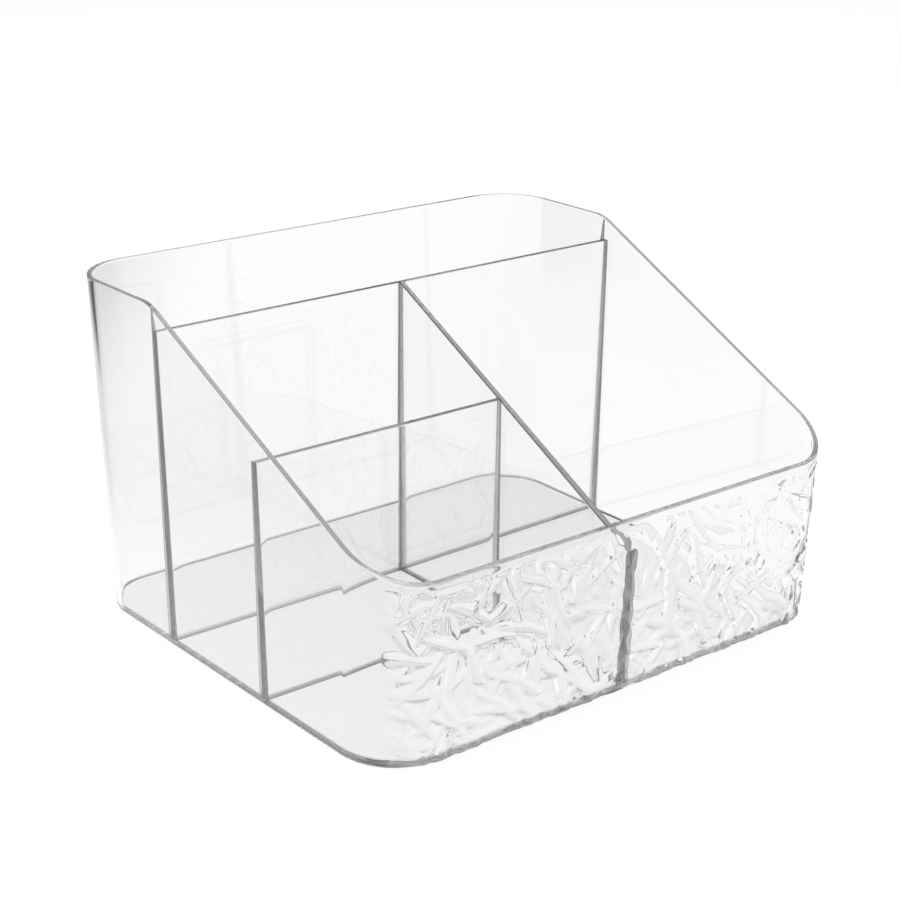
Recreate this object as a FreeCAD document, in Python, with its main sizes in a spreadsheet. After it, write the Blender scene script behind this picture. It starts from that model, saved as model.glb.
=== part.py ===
import FreeCAD, Part
import os
import Sketcher

# Clear open-top vanity organizer: a tray of cemented panels with leaning walls, a sloping rim and three dividers
# Frame: origin at the middle of the footprint on the resting plane, X to the right along the front,
# Y from the front to the rear, Z up; lengths are in millimetres

# Driving sizes
SIZES = [
    ("overall_width", 235.0, "outside width at the rear rim"),
    ("overall_depth", 208.8, "outside depth from the front rim to the rear rim"),
    ("rear_height", 141.0, "height of the level rear rim"),
    ("front_height", 70.5, "height at which the slope's line meets the front"),
    ("rear_flat", 64.0, "depth of the level stretch of the side rims, from the rear"),
    ("slope_round", 22.0, "radius at both ends of the slope"),
    ("corner_radius", 24.7, "outside radius of the upright corners, seen from above"),
    ("side_lean", 2.6, "how far each side leans out over the rear height"),
    ("rear_lean", 5.05, "how far the rear leans out over the rear height"),
    ("front_lean", 3.1, "how far the front leans out over the front height"),
    ("wall", 2.0, "thickness of the band and the front"),
    ("floor_thickness", 2.2, "thickness of the floor"),
    ("bond_gap", 0.1, "film of cement between two panels"),
    ("rear_pocket", 66.8, "from the outside of the rear to the middle of the rear divider"),
    ("middle_pocket", 64.5, "from the middle of the rear divider to the middle of the cross divider"),
    ("rear_divider_drop", 9.3, "how far the rear divider's top stays below the slope's line"),
    ("centre_front_drop", 14.0, "how far the centre divider's top stays below the slope's line at the front"),
    ("divider_top", 2.4, "thickness of a divider at its highest edge"),
    ("divider_lean", 0.7, "how far each face of a divider leans out over the rear height"),
    ("top_fillet", 0.6, "radius of the hollow corners at a divider's ends, at its highest edge"),
    ("foot_fillet", 1.4, "radius of the same corners at the divider's foot"),
    ("web_width", 1.5, "width of a rear divider web at its foot"),
    ("web_tip", 0.3, "width of a rear divider web at its tip"),
    ("web_thickness", 1.0, "thickness of a rear divider web, front to rear"),
    ("web_root", 1.5, "how far a web's foot reaches down into the rear divider"),
    ("web_clearance", 0.5, "how far a web's tip stays below the slope's line"),
    ("overrun", 30.0, "how far cutting shapes reach past what they cut"),
]

doc = FreeCAD.newDocument("vanity_organizer")
sheet = doc.addObject("Spreadsheet::Sheet", "sizes")
for row, (alias, number, meaning) in enumerate(SIZES, start=1):
    sheet.set(f"A{row}", alias)
    sheet.set(f"B{row}", str(number))
    sheet.set(f"C{row}", meaning)
    sheet.setAlias(f"B{row}", alias)
doc.recompute()

# Places and heights, as formulas of the driving sizes
HALF_DEPTH = "(sizes.overall_depth / 2)"
SLOPE_RUN = "(sizes.overall_depth - sizes.rear_flat)"
SLOPE_RISE = "(sizes.rear_height - sizes.front_height)"
SLOPE_LENGTH = f"sqrt({SLOPE_RUN} ^ 2 + {SLOPE_RISE} ^ 2)"
SLOPE_START = f"({HALF_DEPTH} - sizes.rear_flat)"
SEAM = f"(-{HALF_DEPTH} + sizes.front_lean + sizes.corner_radius)"
INSIDE = "(sizes.wall + sizes.bond_gap)"
ABOVE_RIM = "(sizes.rear_height + sizes.overrun)"
BELOW_FLOOR = "(-sizes.overrun)"
REAR_DIVIDER_PLACE = f"({HALF_DEPTH} - sizes.rear_pocket)"
CROSS_DIVIDER_PLACE = f"({REAR_DIVIDER_PLACE} - sizes.middle_pocket)"


def slope_height(place):
    """Height of the side rims' line at a place from front to rear, before its ends are rounded."""
    return f"(sizes.rear_height - max(0; {SLOPE_START} - {place}) * {SLOPE_RISE} / {SLOPE_RUN})"


DIVIDER_FOOT = "(sizes.floor_thickness + sizes.bond_gap)"
REAR_DIVIDER_TOP = f"({slope_height(REAR_DIVIDER_PLACE)} - sizes.rear_divider_drop)"
CENTRE_TOP_END = f"({REAR_DIVIDER_PLACE} - sizes.divider_top / 2)"


def centre_top(place):
    """Height of the centre divider's top at a place: a straight line from level with the rear divider's top."""
    low = "(sizes.front_height - sizes.centre_front_drop)"
    steepness = f"({REAR_DIVIDER_TOP} - {low}) / ({CENTRE_TOP_END} + {HALF_DEPTH})"
    return f"({REAR_DIVIDER_TOP} - ({CENTRE_TOP_END} - {place}) * {steepness})"


CROSS_DIVIDER_TOP = centre_top(CROSS_DIVIDER_PLACE)
WEB_FOOT = f"({REAR_DIVIDER_TOP} - sizes.web_root)"
WEB_TIP = f"({slope_height(REAR_DIVIDER_PLACE)} - sizes.web_clearance)"


def side_face(height, inset):
    """Half the width at a height, measured to a face that lies inset behind the outer one."""
    lean = f"sizes.side_lean * (1 - {height} / sizes.rear_height)"
    return f"(sizes.overall_width / 2 - {lean} - {inset})"


def rear_face(height, inset):
    """Place of the rear's face at a height, inset behind the outer one."""
    lean = f"sizes.rear_lean * (1 - {height} / sizes.rear_height)"
    return f"({HALF_DEPTH} - {lean} - {inset})"


def front_face(height, inset):
    """Place of the front's face at a height, inset behind the outer one."""
    lean = f"sizes.front_lean * (1 - {height} / sizes.front_height)"
    return f"(-{HALF_DEPTH} + {lean} + {inset})"


def half_thickness(height, top):
    """Half the thickness at a height of a divider whose highest edge is at top."""
    return f"(sizes.divider_top / 2 + sizes.divider_lean * ({top} - {height}) / sizes.rear_height)"


# Outlines: each corner is (x, y, radius, turn) and tells of the edge that leaves it, a line where radius is None;
# turn is 1 for an arc that bends to the left and -1 for one that bends to the right
def line_from(x, y):
    return x, y, None, 0


def tray_outline(height, inset):
    """Rounded rectangle of the tray at a height, inset behind its outer face."""
    side = side_face(height, inset)
    front = front_face(height, inset)
    rear = rear_face(height, inset)
    radius = f"(sizes.corner_radius - {inset})"
    return [
        line_from(f"-{side} + {radius}", front),
        (f"{side} - {radius}", front, radius, 1),
        line_from(side, f"{front} + {radius}"),
        (side, f"{rear} - {radius}", radius, 1),
        line_from(f"{side} - {radius}", rear),
        (f"-{side} + {radius}", rear, radius, 1),
        line_from(f"-{side}", f"{rear} - {radius}"),
        (f"-{side}", f"{front} + {radius}", radius, 1),
    ]


def box_outline(left, right, front, rear):
    return [line_from(left, front), line_from(right, front), line_from(right, rear), line_from(left, rear)]


def beyond_tray(front, rear):
    """A box wider than the tray, from front to rear."""
    side = "(sizes.overall_width / 2 + sizes.overrun)"
    return box_outline(f"-{side}", side, front, rear)


def above_rim_outline():
    """Everything above the rim, seen from the right: Y across, Z up."""
    front = f"-{HALF_DEPTH}"
    low = "sizes.front_height"
    high = "sizes.rear_height"
    reach = f"(sizes.slope_round * {SLOPE_RISE} / ({SLOPE_LENGTH} + {SLOPE_RUN}))"
    along = f"{SLOPE_RUN} / {SLOPE_LENGTH}"
    rising = f"{SLOPE_RISE} / {SLOPE_LENGTH}"
    before = f"{front} - sizes.overrun"
    behind = f"{HALF_DEPTH} + sizes.overrun"
    return [
        line_from(before, low),
        (f"{front} - {reach}", low, "sizes.slope_round", 1),
        line_from(f"{front} + {reach} * {along}", f"{low} + {reach} * {rising}"),
        (f"{SLOPE_START} - {reach} * {along}", f"{high} - {reach} * {rising}", "sizes.slope_round", -1),
        line_from(f"{SLOPE_START} + {reach}", high),
        line_from(behind, high),
        line_from(behind, ABOVE_RIM),
        line_from(before, ABOVE_RIM),
    ]


def above_centre_outline():
    """Everything above the centre divider's top line, seen from the right: Y across, Z up."""
    before = f"(-{HALF_DEPTH} - sizes.overrun)"
    behind = f"({REAR_DIVIDER_PLACE} + sizes.overrun)"
    return [
        line_from(before, centre_top(before)),
        line_from(behind, centre_top(behind)),
        line_from(behind, ABOVE_RIM),
        line_from(before, ABOVE_RIM),
    ]


def divider_outline(start, end, half, fillet):
    """A divider along X seen from above, between start and end, widened by hollow fillets at both ends."""
    foot = f"({half} + {fillet})"
    return [
        (start, f"-{foot}", fillet, -1),
        line_from(f"{start} + {fillet}", f"-{half}"),
        (f"{end} - {fillet}", f"-{half}", fillet, -1),
        line_from(end, f"-{foot}"),
        (end, foot, fillet, -1),
        line_from(f"{end} - {fillet}", half),
        (f"{start} + {fillet}", half, fillet, -1),
        line_from(start, foot),
    ]


def moved_back(outline, place):
    return [(x, f"{place} + {y}", radius, turn) for x, y, radius, turn in outline]


def quarter_turned(outline):
    """The outline turned a quarter to the left, so that what ran along X runs along Y."""
    return [(f"-({y})", x, radius, turn) for x, y, radius, turn in outline]


# Sketches and features
def make_body(label):
    body = doc.addObject("PartDesign::Body", label)
    body.Label = label
    return body


def edge_shape(start, end, radius, turn):
    """A line, or the shorter arc of a radius from start to end. The arc itself always runs to the left."""
    if radius is None:
        return Part.LineSegment(start, end)
    chord = end - start
    reach = (radius ** 2 - (chord.Length / 2) ** 2) ** 0.5
    across = FreeCAD.Vector(-chord.y, chord.x, 0).normalize()
    centre = (start + end) / 2 + across * (turn * reach)
    first, last = (start, end) if turn > 0 else (end, start)
    circle = Part.Circle(centre, FreeCAD.Vector(0, 0, 1), radius)
    return Part.ArcOfCircle(circle, circle.parameter(first), circle.parameter(last))


def fix(sketch, constraint, name, formula):
    """Adds a constraint under a name and binds it to a formula."""
    index = sketch.addConstraint(constraint)
    sketch.renameConstraint(index, name)
    sketch.setExpression(f"Constraints.{name}", formula)


def draw(body, name, plane, outline, height="0"):
    """A closed sketch on one of the body's origin planes, each corner and radius bound to its formula."""
    sketch = body.newObject("Sketcher::SketchObject", f"{body.Name}_{name}")
    support = next(item for item in body.Origin.OriginFeatures if item.Role == plane)
    sketch.AttachmentSupport = [(support, "")]
    sketch.MapMode = "FlatFace"
    sketch.setExpression("AttachmentOffset.Base.z", height)
    number = sketch.evalExpression
    points = [FreeCAD.Vector(number(x), number(y), 0) for x, y, radius, turn in outline]
    start_of = []
    end_of = []
    for index, (x, y, radius, turn) in enumerate(outline):
        size = None if radius is None else number(radius)
        edge = edge_shape(points[index], points[(index + 1) % len(points)], size, turn)
        geometry = sketch.addGeometry(edge, False)
        start_of.append((geometry, 2 if turn < 0 else 1))
        end_of.append((geometry, 1 if turn < 0 else 2))
    for index, (x, y, radius, turn) in enumerate(outline):
        sketch.addConstraint(Sketcher.Constraint("Coincident", *end_of[index - 1], *start_of[index]))
        here = points[index]
        fix(sketch, Sketcher.Constraint("DistanceX", -1, 1, *start_of[index], here.x), f"corner_{index}_x", x)
        fix(sketch, Sketcher.Constraint("DistanceY", -1, 1, *start_of[index], here.y), f"corner_{index}_y", y)
        if radius is not None:
            geometry = start_of[index][0]
            fix(sketch, Sketcher.Constraint("Radius", geometry, number(radius)), f"corner_{index}_radius", radius)
    return sketch


def loft(body, kind, name, lower, upper):
    """A straight-sided loft, AdditiveLoft or SubtractiveLoft, between two (outline, height) sections."""
    sections = []
    for level, (outline, height) in (("lower", lower), ("upper", upper)):
        sections.append(draw(body, f"{name}_{level}", "XY_Plane", outline, height))
    feature = body.newObject(f"PartDesign::{kind}", f"{body.Name}_{name}")
    feature.Profile = sections[0]
    feature.Sections = sections[1:]
    feature.Ruled = True


def cut_through(body, name, plane, outline):
    """Cuts an outline right through the body, to both sides of the plane, and checks that it took something."""
    doc.recompute()
    before = body.Shape.Volume
    pocket = body.newObject("PartDesign::Pocket", f"{body.Name}_{name}")
    pocket.Profile = draw(body, f"{name}_outline", plane, outline)
    pocket.Type = "ThroughAll"
    pocket.SideType = "Symmetric"
    doc.recompute()
    if not body.Shape.Volume < before:
        raise RuntimeError(f"{name} cut nothing from {body.Label}")


def add_tray_ring(body):
    """The tray's upright wall all round, leaning outwards and cut to the rim."""
    lower = (tray_outline("0", "0"), "0")
    upper = (tray_outline("sizes.rear_height", "0"), "sizes.rear_height")
    loft(body, "AdditiveLoft", "outside", lower, upper)
    lower = (tray_outline(BELOW_FLOOR, "sizes.wall"), BELOW_FLOOR)
    upper = (tray_outline(ABOVE_RIM, "sizes.wall"), ABOVE_RIM)
    loft(body, "SubtractiveLoft", "inside", lower, upper)
    cut_through(body, "rim", "YZ_Plane", above_rim_outline())


# The panels
def make_floor_panel():
    body = make_body("floor_panel")
    pad = body.newObject("PartDesign::Pad", "floor_panel_sheet")
    pad.Profile = draw(body, "outline", "XY_Plane", tray_outline("0", INSIDE))
    pad.setExpression("Length", "sizes.floor_thickness")
    return body


def make_wall_band():
    body = make_body("wall_band")
    add_tray_ring(body)
    cut_through(body, "front_opening", "XY_Plane", beyond_tray(f"(-{HALF_DEPTH} - sizes.overrun)", SEAM))
    return body


def make_front_panel():
    body = make_body("front_panel")
    add_tray_ring(body)
    edge = f"({SEAM} - sizes.bond_gap)"
    cut_through(body, "band_side", "XY_Plane", beyond_tray(edge, f"({HALF_DEPTH} + sizes.overrun)"))
    return body


def rear_divider_section(height, fillet):
    end = side_face(height, INSIDE)
    outline = divider_outline(f"-{end}", end, half_thickness(height, REAR_DIVIDER_TOP), fillet)
    return moved_back(outline, REAR_DIVIDER_PLACE), height


def web_section(hand, height, width):
    """Foot or tip of a web: it stands on the side wall, in line with the rear divider's rear face."""
    middle = f"({REAR_DIVIDER_PLACE} + sizes.divider_top / 2)"
    half = "sizes.web_thickness / 2"
    outer = side_face(height, INSIDE)
    inner = f"({outer} - {width})"
    left, right = (f"-{outer}", f"-{inner}") if hand == "left" else (inner, outer)
    return box_outline(left, right, f"{middle} - {half}", f"{middle} + {half}"), height


def make_rear_divider():
    body = make_body("rear_divider")
    foot = rear_divider_section(DIVIDER_FOOT, "sizes.foot_fillet")
    loft(body, "AdditiveLoft", "plate", foot, rear_divider_section(REAR_DIVIDER_TOP, "sizes.top_fillet"))
    for hand in ("left", "right"):
        foot = web_section(hand, WEB_FOOT, "sizes.web_width")
        loft(body, "AdditiveLoft", f"{hand}_web", foot, web_section(hand, WEB_TIP, "sizes.web_tip"))
    return body


def centre_divider_section(height, fillet):
    half = half_thickness(height, REAR_DIVIDER_TOP)
    start = front_face(height, INSIDE)
    end = f"({REAR_DIVIDER_PLACE} - {half} - sizes.bond_gap)"
    return quarter_turned(divider_outline(start, end, half, fillet)), height


def make_centre_divider():
    body = make_body("centre_divider")
    foot = centre_divider_section(DIVIDER_FOOT, "sizes.foot_fillet")
    loft(body, "AdditiveLoft", "plate", foot, centre_divider_section(REAR_DIVIDER_TOP, "sizes.top_fillet"))
    cut_through(body, "slope", "YZ_Plane", above_centre_outline())
    return body


def cross_divider_section(height, fillet):
    start = f"-{side_face(height, INSIDE)}"
    end = f"(-{half_thickness(height, REAR_DIVIDER_TOP)} - sizes.bond_gap)"
    outline = divider_outline(start, end, half_thickness(height, CROSS_DIVIDER_TOP), fillet)
    return moved_back(outline, CROSS_DIVIDER_PLACE), height


def make_cross_divider():
    body = make_body("cross_divider")
    foot = cross_divider_section(DIVIDER_FOOT, "sizes.foot_fillet")
    loft(body, "AdditiveLoft", "plate", foot, cross_divider_section(CROSS_DIVIDER_TOP, "sizes.top_fillet"))
    return body


bodies = [
    make_floor_panel(),
    make_wall_band(),
    make_front_panel(),
    make_rear_divider(),
    make_centre_divider(),
    make_cross_divider(),
]
doc.recompute()

# Nothing is written unless every object is sound and every panel is one valid solid
for item in doc.Objects:
    if "Invalid" in item.State or "Error" in item.State:
        raise RuntimeError(f"{item.Label} failed: {item.State}")
for body in bodies:
    if body.Shape.isNull() or not body.Shape.isValid() or len(body.Shape.Solids) != 1:
        raise RuntimeError(f"{body.Label} is not one valid solid")

os.makedirs("parts", exist_ok=True)
for body in bodies:
    body.Shape.exportStep(f"parts/{body.Label}.step")
    box = body.Shape.optimalBoundingBox()
    print(f"{body.Label}: {body.Shape.Volume:.0f} mm3, X {box.XMin:.2f} to {box.XMax:.2f},",
          f"Y {box.YMin:.2f} to {box.YMax:.2f}, Z {box.ZMin:.2f} to {box.ZMax:.2f}")
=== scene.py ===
"""Clear plastic vanity organizer with an embossed front, dressed around its packed panels."""
import math

import bpy
import numpy as np
from mathutils import Matrix, Vector


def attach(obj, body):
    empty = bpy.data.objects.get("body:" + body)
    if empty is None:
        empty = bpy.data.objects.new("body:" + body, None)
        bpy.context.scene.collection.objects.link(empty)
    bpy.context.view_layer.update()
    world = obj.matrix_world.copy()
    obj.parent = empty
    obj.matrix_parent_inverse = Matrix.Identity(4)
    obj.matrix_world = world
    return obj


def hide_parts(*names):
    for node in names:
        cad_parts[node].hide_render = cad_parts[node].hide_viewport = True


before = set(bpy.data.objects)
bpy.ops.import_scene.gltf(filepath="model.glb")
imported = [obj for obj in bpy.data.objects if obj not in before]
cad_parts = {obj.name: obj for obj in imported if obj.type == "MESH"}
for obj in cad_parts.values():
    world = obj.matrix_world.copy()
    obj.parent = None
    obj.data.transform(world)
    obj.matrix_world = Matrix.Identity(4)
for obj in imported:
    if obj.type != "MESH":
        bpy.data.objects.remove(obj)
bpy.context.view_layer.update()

# Sizes of the organizer in metres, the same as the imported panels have
OVERALL_WIDTH = 0.235
OVERALL_DEPTH = 0.2088
REAR_HEIGHT = 0.141
FRONT_HEIGHT = 0.0705
REAR_FLAT = 0.064
SLOPE_ROUND = 0.022
CORNER_RADIUS = 0.0247
SIDE_LEAN = 0.0026
REAR_LEAN = 0.00505
FRONT_LEAN = 0.0031
WALL = 0.002
FLOOR_THICKNESS = 0.0022
REAR_POCKET = 0.0668
MIDDLE_POCKET = 0.0645
REAR_DIVIDER_DROP = 0.0093
CENTRE_FRONT_DROP = 0.014
DIVIDER_TOP = 0.0024
DIVIDER_LEAN = 0.0007
TOP_FILLET = 0.0006
FOOT_FILLET = 0.0014
WEB_WIDTH = 0.0015
WEB_TIP = 0.0003
WEB_THICKNESS = 0.001
WEB_CLEARANCE = 0.0005

# Softened edges in metres, which only the visual pieces have
RIM_ROUND = 0.0007
DIVIDER_ROUND = 0.0005
BASE_ROUND = 0.0004
FOOT_COVE = 0.0008

# How far the visual dividers reach into their neighbours, so that no film of air shows in the joints
JOINT_LAP = 0.0003

# Hair gap between the floor's edge and the wall, which keeps the wall's light inside it
FLOOR_GAP = 0.0001

# Narrow band beside an edge, over which the edge's painted shade fades out
EDGE_BAND = 0.0002

# Points along the wall's corners and straights, along rounded edges, and along and up the dividers
CORNER_POINTS = 25
SIDE_POINTS = 81
REAR_POINTS = 9
INSIDE_ROWS = 5
RIM_POINTS = 6
BASE_POINTS = 5
FLOOR_COVE_POINTS = 7
DIVIDER_ROUND_POINTS = 6
DIVIDER_FILLET_POINTS = 11
DIVIDER_LENGTH_POINTS = 42
DIVIDER_FACE_ROWS = 4

# Steps that find the top edge of a leaning piece, and the angle past which an edge is left hard
LEAN_STEPS = 8
SHARP_ANGLE = math.radians(50)

# Embossed leaves on the front, in metres, with the mesh's step there; the embossing ends below a smooth lip
RELIEF = 0.0014
LEAF_LENGTH = 0.036
LEAF_WIDTH = 0.0066
LIP_HEIGHT = 0.0034
EMBOSS_FADE = 0.0016
RELIEF_STEP = 0.0006

# Turns round the left and right front corners between which the embossing fades out
LEFT_FADE = (math.radians(34), math.radians(50))
RIGHT_FADE = (math.radians(52), math.radians(68))

# Layers of leaves: the way each lies in degrees, and its shift from the one before in metres
LEAF_DIRECTIONS = (60, 14, -40, 88, 36)
LAYER_SHIFT_ALONG = 0.31
LAYER_SHIFT_UP = 0.17
EMBOSS_SEED = 1.0

# Room across a leaf in its widths; how softly leaves meet and the ground's depth, as shares of the relief
LEAF_ROOM = 1.5
LEAF_BLEND = 0.15
GROUND_DEPTH = 0.35

# How much the leaves differ: their places, turn in radians, bend and tilt, and the lowest leaf's height
LEAF_SCATTER = 0.9
LEAF_TURN = 1.1
LEAF_BEND = 1.6
LEAF_TILT = 1.6
LOWEST_LEAF = 0.5

# Plastic: how it bends light, and the light that is lost for each metre inside it
STYRENE_IOR = 1.56
WALL_ABSORPTION = 0.15
DIVIDER_ABSORPTION = 2.5

# Faint flow marks from the mould: their scale and detail, the tints they run between, and their ripple
FLOW_SCALE = 14.0
FLOW_DETAIL = 2.0
FLOW_DARK = (0.975, 0.977, 0.978, 1)
FLOW_LIGHT = (0.992, 0.993, 0.993, 1)
RIPPLE_STRENGTH = 0.02
RIPPLE_HEIGHT = 0.001

# Painted shade on the plastic's edges, in place of the dark that refraction shows there: its colour, and how
# much of it each kind takes; the rim's comes in steeply at the front
PAINTED_SHADE_COLOUR = 0.1
RIM_SHADE = 0.85
RIM_SHADE_POWER = 24
TOP_SHADE = 0.7
CENTRE_TOP_SHADE = 0.05
END_SHADE = 0.85
FOOT_END_SHADE = 0.5
COVE_SHADE = 0.3
BASE_SHADE = 0.2

# Share of light that goes straight through, and the share of the slope that isn't satin at each end
FULL_CLEARNESS = 1.0
SATIN_CLEARNESS = 0.75
SATIN_MARGIN = 0.01

# Camera, fitted to the photograph: focal length and frame in pixels, the rest in metres and radians
FRAME_PIXELS = 900
FOCAL_PIXELS = 1945.0
CAMERA_PLACE = Vector((-0.47303, -0.57393, 0.34355))
CAMERA_YAW = 0.6857
CAMERA_PITCH = -0.3556
CAMERA_ROLL = 0.0096
CLIP_NEAR = 0.01
CLIP_FAR = 50

# The camera's sensor in millimetres
SENSOR_WIDTH = 36.0

# Studio floor: its reach and drop in metres, its grey, its white to the camera, and the share of that white
FLOOR_REACH = 8.0
FLOOR_DROP = 0.0002
FLOOR_PAINT = 0.82
CAMERA_WHITE = 1.08
WHITE_SHARE = 0.8

# The same floor through the plastic: where it dims, in metres leftwards and away, and to what share
LEFT_START = 0.16
FAR_LEFT_START = 0.32
FAR_START = 0.1
DIM_SOFTNESS = 0.12
DIM_NEAR = 0.75
DIM_FAR = 0.1

# Studio light: on the floor, and as the plastic shows it, low and overhead
ROOM_LIGHT = 0.6
LOW_SKY = 0.4
HIGH_SKY = 0.25

# Lamps: places, aim and size in metres, power in watts
KEY_PLACE = (-0.5, -0.3, 1.6)
KEY_POWER = 16
FILL_PLACE = (0.9, 0.4, 1.4)
FILL_POWER = 8
LAMP_AIM = (0, 0, 0.05)
LAMP_SIZE = 1.2

# Times that light may bounce, many because it stays long inside clear plastic
LIGHT_BOUNCES = 256
TRANSPARENT_BOUNCES = 16

# Places worked out from the sizes
HALF_DEPTH = OVERALL_DEPTH / 2
SLOPE_START = HALF_DEPTH - REAR_FLAT
SLOPE_RUN = OVERALL_DEPTH - REAR_FLAT
SLOPE_RISE = REAR_HEIGHT - FRONT_HEIGHT
REAR_DIVIDER_PLACE = HALF_DEPTH - REAR_POCKET
CROSS_DIVIDER_PLACE = REAR_DIVIDER_PLACE - MIDDLE_POCKET
DIVIDER_FOOT = FLOOR_THICKNESS - JOINT_LAP
INSIDE = WALL - JOINT_LAP


# Faces of the tray at a height, and the line of its rim
def side_face(height, inset):
    return OVERALL_WIDTH / 2 - SIDE_LEAN * (1 - height / REAR_HEIGHT) - inset


def rear_face(height, inset):
    return HALF_DEPTH - REAR_LEAN * (1 - height / REAR_HEIGHT) - inset


def front_face(height, inset):
    return -HALF_DEPTH + FRONT_LEAN * (1 - height / FRONT_HEIGHT) + inset


def slope_height(place):
    """Height of the straight slope's line at a place from front to rear."""
    return REAR_HEIGHT - np.maximum(0, SLOPE_START - place) * SLOPE_RISE / SLOPE_RUN


def rim_height(place):
    """Height of the rim at a place from front to rear, with both ends of the slope rounded."""
    slope_length = math.hypot(SLOPE_RUN, SLOPE_RISE)
    reach = SLOPE_ROUND * SLOPE_RISE / (slope_length + SLOPE_RUN)
    along = reach * SLOPE_RUN / slope_length
    height = slope_height(place)
    from_top = SLOPE_START + reach - place
    on_top = (from_top > 0) & (from_top < reach + along)
    top_arc = REAR_HEIGHT - SLOPE_ROUND + np.sqrt(np.maximum(0, SLOPE_ROUND ** 2 - from_top ** 2))
    height = np.where(on_top, top_arc, height)
    from_front = place + HALF_DEPTH + reach
    on_front = from_front < reach + along
    front_arc = FRONT_HEIGHT + SLOPE_ROUND - np.sqrt(np.maximum(0, SLOPE_ROUND ** 2 - from_front ** 2))
    return np.where(on_front, front_arc, height)


def fallen_share(rim):
    """How far a rim has come down the slope, from 0 at the rear to 1 at the front."""
    return np.clip((REAR_HEIGHT - rim) / SLOPE_RISE, 0, 1)


# Dividers' thickness and tops
def half_thickness(height, top):
    """Half the thickness at a height of a divider whose highest edge is at top."""
    return DIVIDER_TOP / 2 + DIVIDER_LEAN * (top - height) / REAR_HEIGHT


REAR_DIVIDER_TOP = float(slope_height(REAR_DIVIDER_PLACE)) - REAR_DIVIDER_DROP
CENTRE_TOP_END = REAR_DIVIDER_PLACE - DIVIDER_TOP / 2


def centre_top(place):
    """Height of the centre divider's top at a place: a straight line from the rear divider's top."""
    fall = REAR_DIVIDER_TOP - (FRONT_HEIGHT - CENTRE_FRONT_DROP)
    return REAR_DIVIDER_TOP - (CENTRE_TOP_END - place) * fall / (CENTRE_TOP_END + HALF_DEPTH)


CROSS_DIVIDER_TOP = centre_top(CROSS_DIVIDER_PLACE)


# Meshes
def make_object(name, vertices, faces):
    mesh = bpy.data.meshes.new(name)
    mesh.from_pydata([tuple(v) for v in vertices], [], [tuple(f) for f in faces])
    mesh.update()
    piece = bpy.data.objects.new(name, mesh)
    bpy.context.scene.collection.objects.link(piece)
    return piece


def shade(piece):
    """Smooth faces, with a hard edge wherever two of them meet at more than the sharp angle."""
    mesh = piece.data
    mesh.polygons.foreach_set("use_smooth", [True] * len(mesh.polygons))
    mesh.set_sharp_from_angle(angle=SHARP_ANGLE)
    mesh.update()


def make_outward(piece):
    """Turns a closed mesh's faces outwards, by the sign of its volume."""
    mesh = piece.data
    points = np.array([v.co for v in mesh.vertices])
    mesh.calc_loop_triangles()
    corners = np.array([t.vertices for t in mesh.loop_triangles])
    a, b, c = points[corners[:, 0]], points[corners[:, 1]], points[corners[:, 2]]
    if np.einsum("ij,ij->", a, np.cross(b, c)) < 0:
        mesh.flip_normals()


def write_numbers(piece, name, domain, numbers):
    """Writes a named number on each of a mesh's points or faces."""
    piece.data.attributes.new(name, "FLOAT", domain).data.foreach_set("value", numbers)


def mark_edges(piece, shares):
    """Writes how much of an edge's painted shade, 0 to 1, each point takes."""
    write_numbers(piece, "painted_edge_shade", "POINT", np.concatenate(shares))


def mark_satin(piece, faces):
    """Marks the faces that may be coated as a satin edge."""
    marks = np.zeros(len(piece.data.polygons))
    marks[faces] = 1
    write_numbers(piece, "satin_edge", "FACE", marks)


def grid_faces(rows, columns, rows_close, columns_close):
    """Quads of a grid of points that may close on itself either way."""
    faces = []
    for row in range(rows if rows_close else rows - 1):
        above = (row + 1) % rows
        for column in range(columns if columns_close else columns - 1):
            beside = (column + 1) % columns
            faces.append((row * columns + column, row * columns + beside,
                          above * columns + beside, above * columns + column))
    return faces


def quarter_round(radius, points):
    """Points (in, down) of a quarter circle, from a face, down by the radius, to a top, in by the radius."""
    turns = np.linspace(0, math.pi / 2, points)
    return [(radius * (1 - math.cos(turn)), radius * (1 - math.sin(turn))) for turn in turns]


# Wall and floor
def wall_stations():
    """Places round the tray as (share across, share back, direction outwards), fine along the front."""
    straight = OVERALL_WIDTH - 2 * CORNER_RADIUS
    across = np.linspace(-1, 1, round(straight / RELIEF_STEP) + 1)
    fine_turn = np.linspace(-math.pi / 2, 0, round(CORNER_RADIUS * math.pi / 2 / RELIEF_STEP) + 1)
    coarse_turn = np.linspace(0, math.pi / 2, CORNER_POINTS)
    back = np.linspace(-1, 1, SIDE_POINTS)
    rear = np.linspace(1, -1, REAR_POINTS)
    stations = [(x, -1, -math.pi / 2) for x in across]
    stations += [(1, -1, turn) for turn in fine_turn[1:]]
    stations += [(1, y, 0) for y in back[1:]]
    stations += [(1, 1, turn) for turn in coarse_turn[1:]]
    stations += [(x, 1, math.pi / 2) for x in rear[1:]]
    stations += [(-1, 1, math.pi / 2 + turn) for turn in coarse_turn[1:]]
    stations += [(-1, y, math.pi) for y in back[::-1][1:]]
    stations += [(-1, -1, 3 * math.pi / 2 + turn) for turn in fine_turn[1:-1]]
    return np.array(stations)


def wall_points(stations, height, inset):
    """Points of the tray's wall at the stations, at given heights and a depth behind the outer face."""
    radius = CORNER_RADIUS - inset
    front = front_face(height, inset) + radius
    rear = rear_face(height, inset) - radius
    x = stations[:, 0] * (side_face(height, inset) - radius) + radius * np.cos(stations[:, 2])
    y = front + (rear - front) * (stations[:, 1] + 1) / 2 + radius * np.sin(stations[:, 2])
    return np.stack([x, y, np.broadcast_to(height, x.shape)], axis=1)


def wall_rim(stations, inset):
    """Height of the rim over each station: the wall leans, so the place is found in a few steps."""
    height = np.full(len(stations), FRONT_HEIGHT)
    for _ in range(LEAN_STEPS):
        height = rim_height(wall_points(stations, height, inset)[:, 1])
    return height


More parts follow.
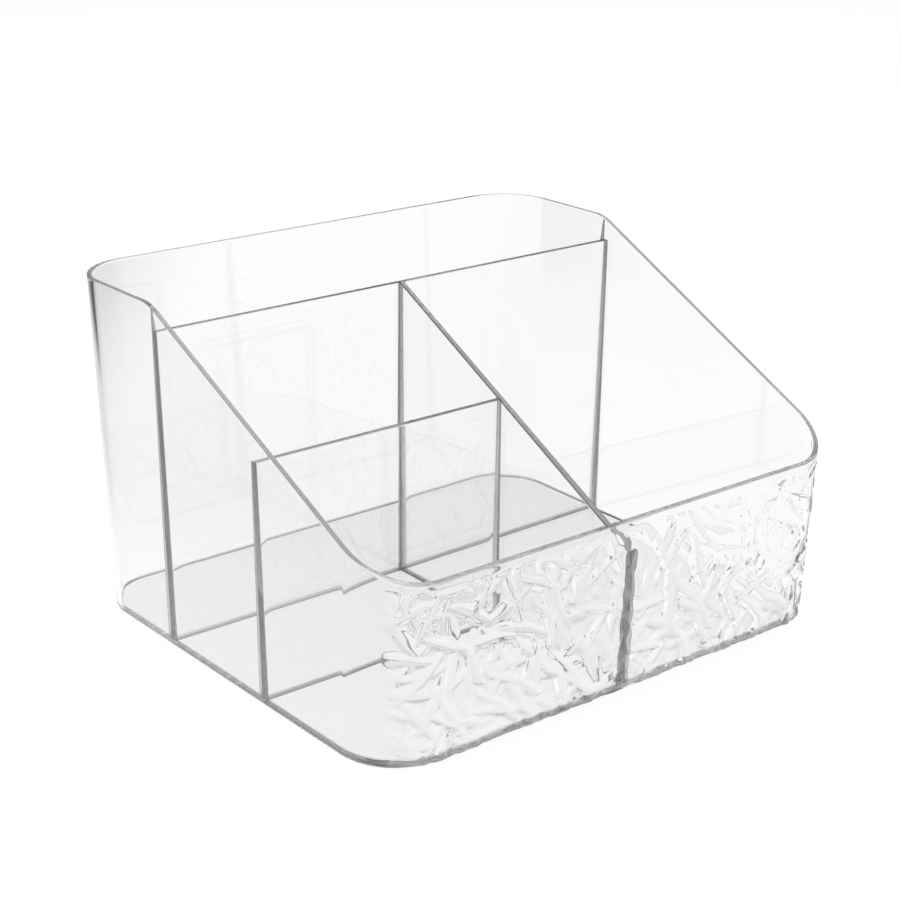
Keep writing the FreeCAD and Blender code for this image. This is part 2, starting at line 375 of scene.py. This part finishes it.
def outer_face_rows(stations, rim):
    """Rows of points up the outer face, from the rounded base to below the rim, fine for the embossing."""
    columns = len(stations)
    base_round = quarter_round(BASE_ROUND, BASE_POINTS)
    rows = [wall_points(stations, down, inset) for inset, down in base_round[::-1]]
    # The rounded base takes painted shade, in place of the dark that refraction shows at its edge
    edges = [np.full(columns, BASE_SHADE) for _ in rows]
    low = BASE_ROUND + EDGE_BAND
    high = rim - RIM_ROUND
    for share in np.linspace(0, 1, round(FRONT_HEIGHT / RELIEF_STEP)):
        rows.append(wall_points(stations, low + (high - low) * share, 0.0))
        edges.append(np.zeros(columns))
    return rows, edges


def rim_rows(stations, rim):
    """Rows of points over the rounded rim, which takes painted shade along the front."""
    rim_round = quarter_round(RIM_ROUND, RIM_POINTS)
    rows = [wall_points(stations, wall_rim(stations, inset) - down, inset) for inset, down in rim_round[1:]]
    for inset, down in rim_round[::-1]:
        rows.append(wall_points(stations, wall_rim(stations, WALL - inset) - down, WALL - inset))
    # Painted shade on the rim, strong along the front and fading out up the slope, in place of the dark that
    # refraction shows there
    rim_painted_shade = RIM_SHADE * fallen_share(rim) ** RIM_SHADE_POWER
    return rows, [rim_painted_shade for _ in rows]


def inner_face_rows(stations):
    """Rows of points down the inner face, from below the rim to the rounded base."""
    columns = len(stations)
    low = BASE_ROUND + EDGE_BAND
    high = wall_rim(stations, WALL) - RIM_ROUND - EDGE_BAND
    shares = np.linspace(1, 0, INSIDE_ROWS)
    rows = [wall_points(stations, low + (high - low) * share, WALL) for share in shares]
    edges = [np.zeros(columns) for _ in rows]
    for inset, down in quarter_round(BASE_ROUND, BASE_POINTS):
        rows.append(wall_points(stations, down, WALL - inset))
        # The rounded base takes painted shade here too
        edges.append(np.full(columns, BASE_SHADE))
    return rows, edges


def carry_embossing(piece, stations, rim, outer_rows):
    """Writes on the outer face each point's distance along the front from its middle, its height, and how
    much of the embossing it takes."""
    turned = stations[:, 2] + math.pi / 2
    turned = np.where(turned > math.pi, turned - 2 * math.pi, turned)
    along = stations[:, 0] * (OVERALL_WIDTH / 2 - CORNER_RADIUS) + CORNER_RADIUS * turned
    left_share = np.clip((LEFT_FADE[1] + turned) / (LEFT_FADE[1] - LEFT_FADE[0]), 0, 1)
    right_share = np.clip((RIGHT_FADE[1] - turned) / (RIGHT_FADE[1] - RIGHT_FADE[0]), 0, 1)
    front_share = np.where(stations[:, 1] == -1, left_share * right_share, 0.0)
    columns = len(stations)
    mesh = piece.data
    place = np.zeros((len(mesh.vertices), 3))
    share = np.zeros(len(mesh.vertices))
    for level, points in enumerate(outer_rows):
        row = slice(level * columns, (level + 1) * columns)
        place[row, 0] = along
        place[row, 1] = points[:, 2]
        share[row] = front_share * np.clip((rim - LIP_HEIGHT - points[:, 2]) / EMBOSS_FADE, 0, 1)
    mesh.attributes.new("emboss_place", "FLOAT_VECTOR", "POINT").data.foreach_set("vector", place.ravel())
    write_numbers(piece, "emboss_share", "POINT", share)


def make_outer_wall():
    """The wall all round as one closed shell, ready for the embossing, with its sloping rims marked satin."""
    stations = wall_stations()
    columns = len(stations)
    rim = wall_rim(stations, 0.0)
    outer_rows, outer_edges = outer_face_rows(stations, rim)
    top_rows, top_edges = rim_rows(stations, rim)
    inner_rows, inner_edges = inner_face_rows(stations)
    rows = outer_rows + top_rows + inner_rows
    piece = make_object("outer_wall", np.concatenate(rows), grid_faces(len(rows), columns, True, True))
    carry_embossing(piece, stations, rim, outer_rows)
    mark_edges(piece, outer_edges + top_edges + inner_edges)
    fallen = fallen_share(rim)
    sloping = np.flatnonzero((fallen > SATIN_MARGIN) & (fallen < 1 - SATIN_MARGIN))
    first = len(outer_rows) - 1
    strips = range(first, first + len(top_rows))
    mark_satin(piece, np.concatenate([strip * columns + sloping for strip in strips]))
    shade(piece)
    return piece


def make_floor_panel():
    """The floor, with its upper edge drawn up a little where it meets the wall."""
    stations = wall_stations()
    columns = len(stations)
    edge = WALL + FLOOR_GAP
    rows = [wall_points(stations, 0.0, edge)]
    edges = [np.zeros(columns)]
    for inset, up in quarter_round(FOOT_COVE, FLOOR_COVE_POINTS):
        rows.append(wall_points(stations, FLOOR_THICKNESS + up, edge + inset))
        # The cove takes painted shade, in place of the dark that refraction shows along the floor's joint
        # with the wall
        edges.append(np.full(columns, COVE_SHADE))
    rows.append(wall_points(stations, FLOOR_THICKNESS, edge + FOOT_COVE + EDGE_BAND))
    edges.append(np.zeros(columns))
    faces = grid_faces(len(rows), columns, False, True)
    faces.append(tuple(range(columns))[::-1])
    last = (len(rows) - 1) * columns
    faces.append(tuple(range(last, last + columns)))
    piece = make_object("clear_floor", np.concatenate(rows), faces)
    mark_edges(piece, edges)
    shade(piece)
    return piece


# Dividers
def fillet_shares():
    """Shares at the points along a divider's side, from its near end: of the near fillet passed, of the
    stretch between the fillets passed, of the far fillet passed, and of a fillet's radius that stands out."""
    turns = np.linspace(0, math.pi / 2, DIVIDER_FILLET_POINTS)
    middle = np.linspace(0, 1, DIVIDER_LENGTH_POINTS)[1:-1]
    near = np.concatenate([1 - np.cos(turns), np.ones(len(middle) + len(turns))])
    between = np.concatenate([np.zeros(len(turns)), middle, np.ones(len(turns))])
    far = 1 - near[::-1]
    hollow = np.concatenate([1 - np.sin(turns), np.zeros(len(middle)), 1 - np.sin(turns[::-1])])
    return near, between, far, hollow


def close_plate(name, side, edges, place_point):
    """A closed plate from the rows of points of one side, each (along, out from the middle, height), and
    their mirror image. The flat strip along its top is marked as one that may be satin."""
    columns = len(edges[0])
    rows = [place_point(along, out, height) for along, out, height in side]
    rows += [place_point(along, -out, height) for along, out, height in side[::-1]]
    faces = grid_faces(len(rows), columns, True, False)
    faces.append(tuple(row * columns for row in range(len(rows))))
    faces.append(tuple(row * columns + columns - 1 for row in range(len(rows)))[::-1])
    piece = make_object(name, np.concatenate(rows), faces)
    mark_edges(piece, edges + edges[::-1])
    mark_satin(piece, (len(side) - 1) * (columns - 1) + np.arange(columns - 1))
    make_outward(piece)
    shade(piece)
    return piece


def make_divider(name, span, top_at, highest, place_point, top_shade):
    """A leaning plate along its own length, with hollow fillets at its ends that grow towards the foot.
    span(height) gives its two ends, top_at(place) the height of its top, highest is where its thickness is
    measured, place_point(along, across, height) gives a point in the organizer's frame, and top_shade is
    how much painted shade its top takes."""
    near, between, far, hollow = fillet_shares()

    def side_points(height, outwards):
        height = np.broadcast_to(height, between.shape)
        fillet = TOP_FILLET + (FOOT_FILLET - TOP_FILLET) * (highest - height) / (highest - DIVIDER_FOOT)
        start, end = span(height)
        along = start + fillet * near + (end - start - 2 * fillet) * between + fillet * far
        return along, half_thickness(height, highest) + fillet * hollow + outwards, height

    top = np.full(len(between), highest)
    for _ in range(LEAN_STEPS):
        top = top_at(side_points(top, 0.0)[0])

    # One side from the foot to the top: the foot's cove, the face and the rounded edge
    # Painted shade at the ends, lighter towards the foot, and on the foot's cove and the top, in place of the
    # dark that refraction shows at those edges
    ends = END_SHADE * hollow
    foot_ends = FOOT_END_SHADE * hollow
    cove = quarter_round(FOOT_COVE, DIVIDER_ROUND_POINTS)
    side = [side_points(DIVIDER_FOOT + up, out) for out, up in cove[::-1]]
    edges = [np.maximum(foot_ends, COVE_SHADE) for _ in side]
    low = DIVIDER_FOOT + FOOT_COVE + EDGE_BAND
    high = top - DIVIDER_ROUND - EDGE_BAND
    for share in np.linspace(0, 1, DIVIDER_FACE_ROWS):
        side.append(side_points(low + (high - low) * share, 0.0))
        edges.append(foot_ends + (ends - foot_ends) * share)
    for inset, down in quarter_round(DIVIDER_ROUND, DIVIDER_ROUND_POINTS):
        side.append(side_points(top - down, -inset))
        edges.append(np.maximum(ends, top_shade * (1 - down / DIVIDER_ROUND)))
    return close_plate(name, side, edges, place_point)


def along_width(place):
    """Points of a divider that runs across the organizer at a place from front to rear."""
    def point(along, across, height):
        return np.stack([along, place + across, height], axis=1)
    return point


def along_depth(along, across, height):
    """Points of a divider that runs from front to rear in the organizer's middle."""
    return np.stack([across, along, height], axis=1)


def level_top(top):
    """The top of a divider that is level all along."""
    def height_at(place):
        return np.full(np.shape(place), top)
    return height_at


def make_rear_divider():
    """The full-width divider, from side wall to side wall."""
    def span(height):
        end = side_face(height, INSIDE)
        return -end, end
    return make_divider("clear_rear_divider", span, level_top(REAR_DIVIDER_TOP), REAR_DIVIDER_TOP,
                        along_width(REAR_DIVIDER_PLACE), TOP_SHADE)


def make_webs():
    """The two slim webs that rise from the rear divider's ends to the rim, wedges against the side walls."""
    middle = REAR_DIVIDER_PLACE + DIVIDER_TOP / 2
    foot = REAR_DIVIDER_TOP - JOINT_LAP
    tip = float(slope_height(REAR_DIVIDER_PLACE)) - WEB_CLEARANCE
    vertices = []
    faces = []
    for hand in (-1, 1):
        first = len(vertices)
        for height, width in ((foot, WEB_WIDTH), (tip, WEB_TIP)):
            outer = side_face(height, INSIDE)
            for x, y in ((outer, -1), (outer, 1), (outer - width, 1), (outer - width, -1)):
                vertices.append((hand * x, middle + y * WEB_THICKNESS / 2, height))
        quads = [(0, 1, 2, 3), (7, 6, 5, 4), (0, 4, 5, 1), (1, 5, 6, 2), (2, 6, 7, 3), (3, 7, 4, 0)]
        faces += [tuple(first + corner for corner in (quad if hand < 0 else quad[::-1])) for quad in quads]
    piece = make_object("rear_divider_webs", vertices, faces)
    # The webs take painted shade all over, as much as a divider's top
    mark_edges(piece, [np.full(len(vertices), TOP_SHADE)])
    make_outward(piece)
    shade(piece)
    return piece


def make_centre_divider():
    """The divider from the front wall to the rear divider, with its sloping top."""
    def span(height):
        rear = REAR_DIVIDER_PLACE - half_thickness(height, REAR_DIVIDER_TOP) + JOINT_LAP
        return front_face(height, INSIDE), rear
    return make_divider("clear_centre_divider", span, centre_top, REAR_DIVIDER_TOP, along_depth,
                        CENTRE_TOP_SHADE)


def make_cross_divider():
    """The divider across the left half, from the side wall to the centre divider."""
    def span(height):
        return -side_face(height, INSIDE), -half_thickness(height, REAR_DIVIDER_TOP) + JOINT_LAP
    return make_divider("clear_cross_divider", span, level_top(CROSS_DIVIDER_TOP), CROSS_DIVIDER_TOP,
                        along_width(CROSS_DIVIDER_PLACE), TOP_SHADE)


# Nodes
def add_node(tree, kind, **settings):
    node = tree.nodes.new(kind)
    for name, value in settings.items():
        setattr(node, name, value)
    return node


def feed(tree, socket, value):
    """Links another node's output to a socket, or sets a plain value on it."""
    if isinstance(value, bpy.types.NodeSocket):
        tree.links.new(value, socket)
    else:
        socket.default_value = value


def work_out(tree, operation, *values):
    """A Math node's result."""
    node = add_node(tree, "ShaderNodeMath", operation=operation)
    for socket, value in zip(node.inputs, values):
        feed(tree, socket, value)
    return node.outputs[0]


def work_out_vector(tree, operation, *values):
    """A Vector Math node's result."""
    node = add_node(tree, "ShaderNodeVectorMath", operation=operation)
    sockets = list(node.inputs)
    if operation == "SCALE":
        sockets = [node.inputs[0], node.inputs["Scale"]]
    for socket, value in zip(sockets, values):
        feed(tree, socket, value)
    return node.outputs[0]


def turn_about_up(tree, vector, angle):
    node = add_node(tree, "ShaderNodeVectorRotate", rotation_type="Z_AXIS")
    feed(tree, node.inputs["Vector"], vector)
    feed(tree, node.inputs["Angle"], angle)
    return node.outputs[0]


def split_vector(tree, vector):
    node = add_node(tree, "ShaderNodeSeparateXYZ")
    feed(tree, node.inputs[0], vector)
    return node.outputs


def blend(tree, share, first, second):
    """A number that goes from first to second as share goes from 0 to 1."""
    node = add_node(tree, "ShaderNodeMix", data_type="FLOAT")
    for socket, value in zip((node.inputs[0], node.inputs[2], node.inputs[3]), (share, first, second)):
        feed(tree, socket, value)
    return node.outputs[0]


# Embossing
def spread(tree, chance, width):
    """A chance between 0 and 1, spread over a width about 0."""
    return work_out(tree, "MULTIPLY", work_out(tree, "SUBTRACT", chance, 0.5), width)


def nearest_leaf(tree, place, cell):
    """The way to a place from the middle of the nearest leaf, one in each cell of a stretched random net,
    and three chances that are that leaf's own."""
    net = add_node(tree, "ShaderNodeTexVoronoi", voronoi_dimensions="2D", feature="F1")
    net.inputs["Scale"].default_value = 1.0
    net.inputs["Randomness"].default_value = LEAF_SCATTER
    scaled = work_out_vector(tree, "DIVIDE", place, cell)
    feed(tree, net.inputs["Vector"], scaled)
    chances = add_node(tree, "FunctionNodeSeparateColor")
    feed(tree, chances.inputs[0], net.outputs["Color"])
    offset = work_out_vector(tree, "SUBTRACT", scaled, net.outputs["Position"])
    return work_out_vector(tree, "MULTIPLY", offset, cell), chances.outputs


def leaf_layer(tree, place, length, width, turn, shift):
    """Height of one layer of almond-shaped leaves that lie about one way, as a share of the relief. Each
    leaf has a turn, a bend, a tilt and a height of its own."""
    turned = turn_about_up(tree, work_out_vector(tree, "ADD", place, shift), turn)
    cell = add_node(tree, "ShaderNodeCombineXYZ")
    for socket, value in zip(cell.inputs, (length, work_out(tree, "MULTIPLY", width, LEAF_ROOM), 1.0)):
        feed(tree, socket, value)
    offset, chances = nearest_leaf(tree, turned, cell.outputs[0])
    parts = split_vector(tree, turn_about_up(tree, offset, spread(tree, chances[0], LEAF_TURN)))
    along = work_out(tree, "DIVIDE", parts[0], work_out(tree, "MULTIPLY", length, 0.5))
    across = work_out(tree, "DIVIDE", parts[1], work_out(tree, "MULTIPLY", width, 0.5))
    along_squared = work_out(tree, "MULTIPLY", along, along)
    across = work_out(tree, "MULTIPLY_ADD", spread(tree, chances[1], LEAF_BEND), along_squared, across)
    almond = work_out(tree, "SUBTRACT", 1.0, along_squared)
    almond = work_out(tree, "SUBTRACT", almond, work_out(tree, "MULTIPLY", across, across))
    soft = add_node(tree, "ShaderNodeMapRange", interpolation_type="SMOOTHSTEP")
    feed(tree, soft.inputs["Value"], almond)
    tilted = work_out(tree, "MULTIPLY_ADD", spread(tree, chances[2], LEAF_TILT), across, 1.0)
    own_height = work_out(tree, "MULTIPLY_ADD", chances[1], 1 - LOWEST_LEAF, LOWEST_LEAF)
    return work_out(tree, "MULTIPLY", work_out(tree, "MULTIPLY", soft.outputs[0], tilted), own_height)


def leaf_heights(tree, given, place):
    """Height of all the layers together, the ground between the leaves sunk, as a share of the relief."""
    height = 0.0
    for layer, degrees in enumerate(LEAF_DIRECTIONS):
        shift = (LAYER_SHIFT_ALONG * (layer + 1), LAYER_SHIFT_UP * (layer + 2), 0.0)
        shift = work_out_vector(tree, "SCALE", shift, given.outputs["Seed"])
        leaves = leaf_layer(tree, place, given.outputs["Leaf Length"], given.outputs["Leaf Width"],
                            math.radians(degrees), shift)
        height = work_out(tree, "SMOOTH_MAX", leaves, height, LEAF_BLEND)
    return work_out(tree, "SUBTRACT", height, GROUND_DEPTH)


def named_values(tree, name, kind):
    """What a mesh carries under a name."""
    node = add_node(tree, "GeometryNodeInputNamedAttribute", data_type=kind)
    node.inputs["Name"].default_value = name
    return node.outputs[0]


def emboss_tree():
    """Raises overlapping leaves from the front's outer face, by the coordinates that the wall carries."""
    tree = bpy.data.node_groups.new("embossed_front", "GeometryNodeTree")
    face = tree.interface
    face.new_socket("Wall", in_out="INPUT", socket_type="NodeSocketGeometry")
    for name in ("Relief", "Leaf Length", "Leaf Width", "Seed"):
        face.new_socket(name, in_out="INPUT", socket_type="NodeSocketFloat")
    face.new_socket("Plastic", in_out="INPUT", socket_type="NodeSocketMaterial")
    face.new_socket("Wall", in_out="OUTPUT", socket_type="NodeSocketGeometry")
    given = add_node(tree, "NodeGroupInput")
    made = add_node(tree, "NodeGroupOutput")
    height = leaf_heights(tree, given, named_values(tree, "emboss_place", "FLOAT_VECTOR"))
    height = work_out(tree, "MULTIPLY", height, named_values(tree, "emboss_share", "FLOAT"))
    height = work_out(tree, "MULTIPLY", height, given.outputs["Relief"])
    normal = add_node(tree, "GeometryNodeInputNormal")
    outwards = work_out_vector(tree, "MULTIPLY", normal.outputs[0], (1.0, 1.0, 0.0))
    raised = add_node(tree, "GeometryNodeSetPosition")
    feed(tree, raised.inputs["Geometry"], given.outputs["Wall"])
    feed(tree, raised.inputs["Offset"], work_out_vector(tree, "SCALE", outwards, height))
    whole = add_node(tree, "GeometryNodeRealizeInstances")
    feed(tree, whole.inputs["Geometry"], raised.outputs["Geometry"])
    coated = add_node(tree, "GeometryNodeSetMaterial")
    feed(tree, coated.inputs["Geometry"], whole.outputs["Geometry"])
    feed(tree, coated.inputs["Material"], given.outputs["Plastic"])
    feed(tree, made.inputs[0], coated.outputs["Geometry"])
    return tree


def emboss(piece, plastic):
    """Runs the embossing on the outer wall and keeps its result as the wall's plain mesh."""
    tree = emboss_tree()
    values = {"Relief": RELIEF, "Leaf Length": LEAF_LENGTH, "Leaf Width": LEAF_WIDTH, "Seed": EMBOSS_SEED,
              "Plastic": plastic}
    modifier = piece.modifiers.new("embossing", "NODES")
    modifier.node_group = tree
    for item in tree.interface.items_tree:
        if item.in_out == "INPUT" and item.name in values:
            modifier[item.identifier] = values[item.name]
    evaluated = piece.evaluated_get(bpy.context.evaluated_depsgraph_get())
    mesh = bpy.data.meshes.new_from_object(evaluated)
    piece.modifiers.remove(modifier)
    piece.data = mesh


# Plastic
def clear_plastic(name, absorption, clearness):
    """Clear styrene: smooth, faintly uneven from the mould, and darkened along its edges by painted shade in
    place of the dark that refraction shows there.
    """
    material = bpy.data.materials.new(name)
    material.use_nodes = True
    tree = material.node_tree
    shader = tree.nodes["Principled BSDF"]
    shader.inputs["Transmission Weight"].default_value = clearness
    shader.inputs["IOR"].default_value = STYRENE_IOR
    shader.inputs["Roughness"].default_value = 0.0
    coordinates = add_node(tree, "ShaderNodeTexCoord")
    flow = add_node(tree, "ShaderNodeTexNoise")
    flow.inputs["Scale"].default_value = FLOW_SCALE
    flow.inputs["Detail"].default_value = FLOW_DETAIL
    feed(tree, flow.inputs["Vector"], coordinates.outputs["Object"])
    tint = add_node(tree, "ShaderNodeValToRGB")
    tint.color_ramp.elements[0].color = FLOW_DARK
    tint.color_ramp.elements[1].color = FLOW_LIGHT
    feed(tree, tint.inputs["Fac"], flow.outputs["Fac"])
    # Painted shade: the base colour is multiplied towards dark grey where edges are marked, standing in for
    # the dark that refraction shows at clear edges
    edge = add_node(tree, "ShaderNodeAttribute", attribute_name="painted_edge_shade")
    shaded = add_node(tree, "ShaderNodeMix", data_type="RGBA", blend_type="MULTIPLY")
    feed(tree, shaded.inputs[0], edge.outputs["Fac"])
    feed(tree, shaded.inputs[6], tint.outputs["Color"])
    feed(tree, shaded.inputs[7], (PAINTED_SHADE_COLOUR, PAINTED_SHADE_COLOUR, PAINTED_SHADE_COLOUR, 1))
    feed(tree, shader.inputs["Base Color"], shaded.outputs[2])
    ripple = add_node(tree, "ShaderNodeBump")
    ripple.inputs["Strength"].default_value = RIPPLE_STRENGTH
    ripple.inputs["Distance"].default_value = RIPPLE_HEIGHT
    feed(tree, ripple.inputs["Height"], flow.outputs["Fac"])
    feed(tree, shader.inputs["Normal"], ripple.outputs["Normal"])
    depth = add_node(tree, "ShaderNodeVolumeAbsorption")
    depth.inputs["Color"].default_value = (0, 0, 0, 1)
    depth.inputs["Density"].default_value = absorption
    feed(tree, tree.nodes["Material Output"].inputs["Volume"], depth.outputs["Volume"])
    return material


def coat_satin_edges(piece, plastic):
    """Gives the faces that are marked as a satin edge a plastic of their own."""
    mesh = piece.data
    marks = np.zeros(len(mesh.polygons))
    mesh.attributes["satin_edge"].data.foreach_get("value", marks)
    mesh.materials.append(plastic)
    mesh.polygons.foreach_set("material_index", (marks > 0).astype(np.int32))


# Stage
def is_seen_through(tree):
    """1 for rays that come by way of gloss or clear plastic, and 0 for all others."""
    path = add_node(tree, "ShaderNodeLightPath")
    return work_out(tree, "MAXIMUM", path.outputs["Is Glossy Ray"], path.outputs["Is Transmission Ray"])


def is_camera_ray(tree):
    return add_node(tree, "ShaderNodeLightPath").outputs["Is Camera Ray"]


def smooth_rise(tree, value, start):
    """0 up to a start, rising softly to 1."""
    rise = add_node(tree, "ShaderNodeMapRange", interpolation_type="SMOOTHSTEP")
    feed(tree, rise.inputs["Value"], value)
    rise.inputs["From Min"].default_value = start
    rise.inputs["From Max"].default_value = start + DIM_SOFTNESS
    return rise.outputs[0]


def floor_level(tree):
    """Brightness of the floor seen through the plastic: dimmer on its left, most of all far behind there."""
    coordinates = add_node(tree, "ShaderNodeTexCoord")
    parts = split_vector(tree, turn_about_up(tree, coordinates.outputs["Object"], CAMERA_YAW))
    leftwards = work_out(tree, "MULTIPLY", parts[0], -1.0)
    near_level = blend(tree, smooth_rise(tree, leftwards, LEFT_START), 1.0, DIM_NEAR)
    far = smooth_rise(tree, parts[1], FAR_START)
    far_left = work_out(tree, "MULTIPLY", far, smooth_rise(tree, leftwards, FAR_LEFT_START))
    return blend(tree, far_left, near_level, DIM_FAR)


def studio_paint():
    """Pale paint, white from the camera, that still takes a shadow. Seen through the plastic it is dim on
    one side, which draws the plastic's edges."""
    material = bpy.data.materials.new("studio_floor")
    material.use_nodes = True
    tree = material.node_tree
    paint = tree.nodes["Principled BSDF"]
    paint.inputs["Base Color"].default_value = (FLOOR_PAINT, FLOOR_PAINT, FLOOR_PAINT, 1)
    paint.inputs["Roughness"].default_value = 1.0
    paint.inputs["Specular IOR Level"].default_value = 0.0
    white = add_node(tree, "ShaderNodeEmission")
    seen_level = floor_level(tree)
    feed(tree, white.inputs["Strength"], blend(tree, is_camera_ray(tree), seen_level, CAMERA_WHITE))
    camera_share = work_out(tree, "MULTIPLY", is_camera_ray(tree), WHITE_SHARE)
    mix = add_node(tree, "ShaderNodeMixShader")
    feed(tree, mix.inputs[0], work_out(tree, "MAXIMUM", camera_share, is_seen_through(tree)))
    feed(tree, mix.inputs[1], paint.outputs[0])
    feed(tree, mix.inputs[2], white.outputs[0])
    feed(tree, tree.nodes["Material Output"].inputs["Surface"], mix.outputs[0])
    return material


def make_studio_floor():
    """A wide pale floor under the organizer."""
    corners = [(-FLOOR_REACH, -FLOOR_REACH, 0), (FLOOR_REACH, -FLOOR_REACH, 0),
               (FLOOR_REACH, FLOOR_REACH, 0), (-FLOOR_REACH, FLOOR_REACH, 0)]
    floor = make_object("floor", corners, [(0, 1, 2, 3)])
    floor.location.z = -FLOOR_DROP
    floor.data.materials.append(studio_paint())


def make_studio_light():
    """Even studio light, white where the camera looks straight into it, dim where the plastic mirrors it."""
    world = bpy.data.worlds.new("studio")
    bpy.context.scene.world = world
    world.use_nodes = True
    tree = world.node_tree
    light = tree.nodes["Background"]
    light.inputs["Color"].default_value = (1, 1, 1, 1)
    coordinates = add_node(tree, "ShaderNodeTexCoord")
    rise = work_out(tree, "MAXIMUM", split_vector(tree, coordinates.outputs["Generated"])[2], 0.0)
    seen_level = blend(tree, rise, LOW_SKY, HIGH_SKY)
    level = blend(tree, is_seen_through(tree), ROOM_LIGHT, seen_level)
    feed(tree, light.inputs["Strength"], blend(tree, is_camera_ray(tree), level, 1.0))


def make_lamp(name, place, power):
    """A soft round lamp that lights the floor but isn't mirrored in the plastic."""
    data = bpy.data.lights.new(name, "AREA")
    data.shape = "DISK"
    data.size = LAMP_SIZE
    data.energy = power
    lamp = bpy.data.objects.new(name, data)
    lamp.location = place
    lamp.rotation_euler = (Vector(LAMP_AIM) - Vector(place)).to_track_quat("-Z", "Y").to_euler()
    lamp.visible_glossy = False
    lamp.visible_transmission = False
    bpy.context.scene.collection.objects.link(lamp)


def make_camera():
    """The camera at the photograph's place, turned by its yaw, pitch and roll."""
    data = bpy.data.cameras.new("camera")
    data.sensor_width = SENSOR_WIDTH
    data.lens = FOCAL_PIXELS * SENSOR_WIDTH / FRAME_PIXELS
    data.clip_start = CLIP_NEAR
    data.clip_end = CLIP_FAR
    level_ahead = math.cos(CAMERA_PITCH)
    ahead = Vector((math.sin(CAMERA_YAW) * level_ahead, math.cos(CAMERA_YAW) * level_ahead,
                    math.sin(CAMERA_PITCH)))
    level_right = Vector((math.cos(CAMERA_YAW), -math.sin(CAMERA_YAW), 0))
    level_up = level_right.cross(ahead)
    right = level_right * math.cos(CAMERA_ROLL) + level_up * math.sin(CAMERA_ROLL)
    up = level_up * math.cos(CAMERA_ROLL) - level_right * math.sin(CAMERA_ROLL)
    camera = bpy.data.objects.new("camera", data)
    turn = Matrix((right, up, -ahead)).transposed().to_4x4()
    camera.matrix_world = Matrix.Translation(CAMERA_PLACE) @ turn
    bpy.context.scene.collection.objects.link(camera)
    bpy.context.scene.camera = camera


# Dressing: each finished piece gets its plastic, unless it has it already, and takes its panels' place
def dress(piece, plastic, *nodes):
    if not piece.data.materials:
        piece.data.materials.append(plastic)
    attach(piece, "root")
    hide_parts(*nodes)


wall_plastic = clear_plastic("wall_plastic", WALL_ABSORPTION, FULL_CLEARNESS)
divider_plastic = clear_plastic("divider_plastic", DIVIDER_ABSORPTION, FULL_CLEARNESS)
satin_plastic = clear_plastic("satin_plastic", WALL_ABSORPTION, SATIN_CLEARNESS)
outer_wall = make_outer_wall()
emboss(outer_wall, wall_plastic)
dress(outer_wall, wall_plastic, "wall_band", "front_panel")
coat_satin_edges(outer_wall, satin_plastic)
dress(make_floor_panel(), wall_plastic, "floor_panel")
dress(make_rear_divider(), divider_plastic, "rear_divider")
dress(make_webs(), divider_plastic, "rear_divider")
centre_divider = make_centre_divider()
dress(centre_divider, wall_plastic, "centre_divider")
coat_satin_edges(centre_divider, satin_plastic)
dress(make_cross_divider(), divider_plastic, "cross_divider")

make_studio_floor()
make_studio_light()
make_lamp("key_lamp", KEY_PLACE, KEY_POWER)
make_lamp("fill_lamp", FILL_PLACE, FILL_POWER)
make_camera()

scene = bpy.context.scene
scene.view_settings.view_transform = "Standard"
scene.cycles.max_bounces = LIGHT_BOUNCES
scene.cycles.transmission_bounces = LIGHT_BOUNCES
scene.cycles.glossy_bounces = LIGHT_BOUNCES
scene.cycles.transparent_max_bounces = TRANSPARENT_BOUNCES

bpy.context.view_layer.update()
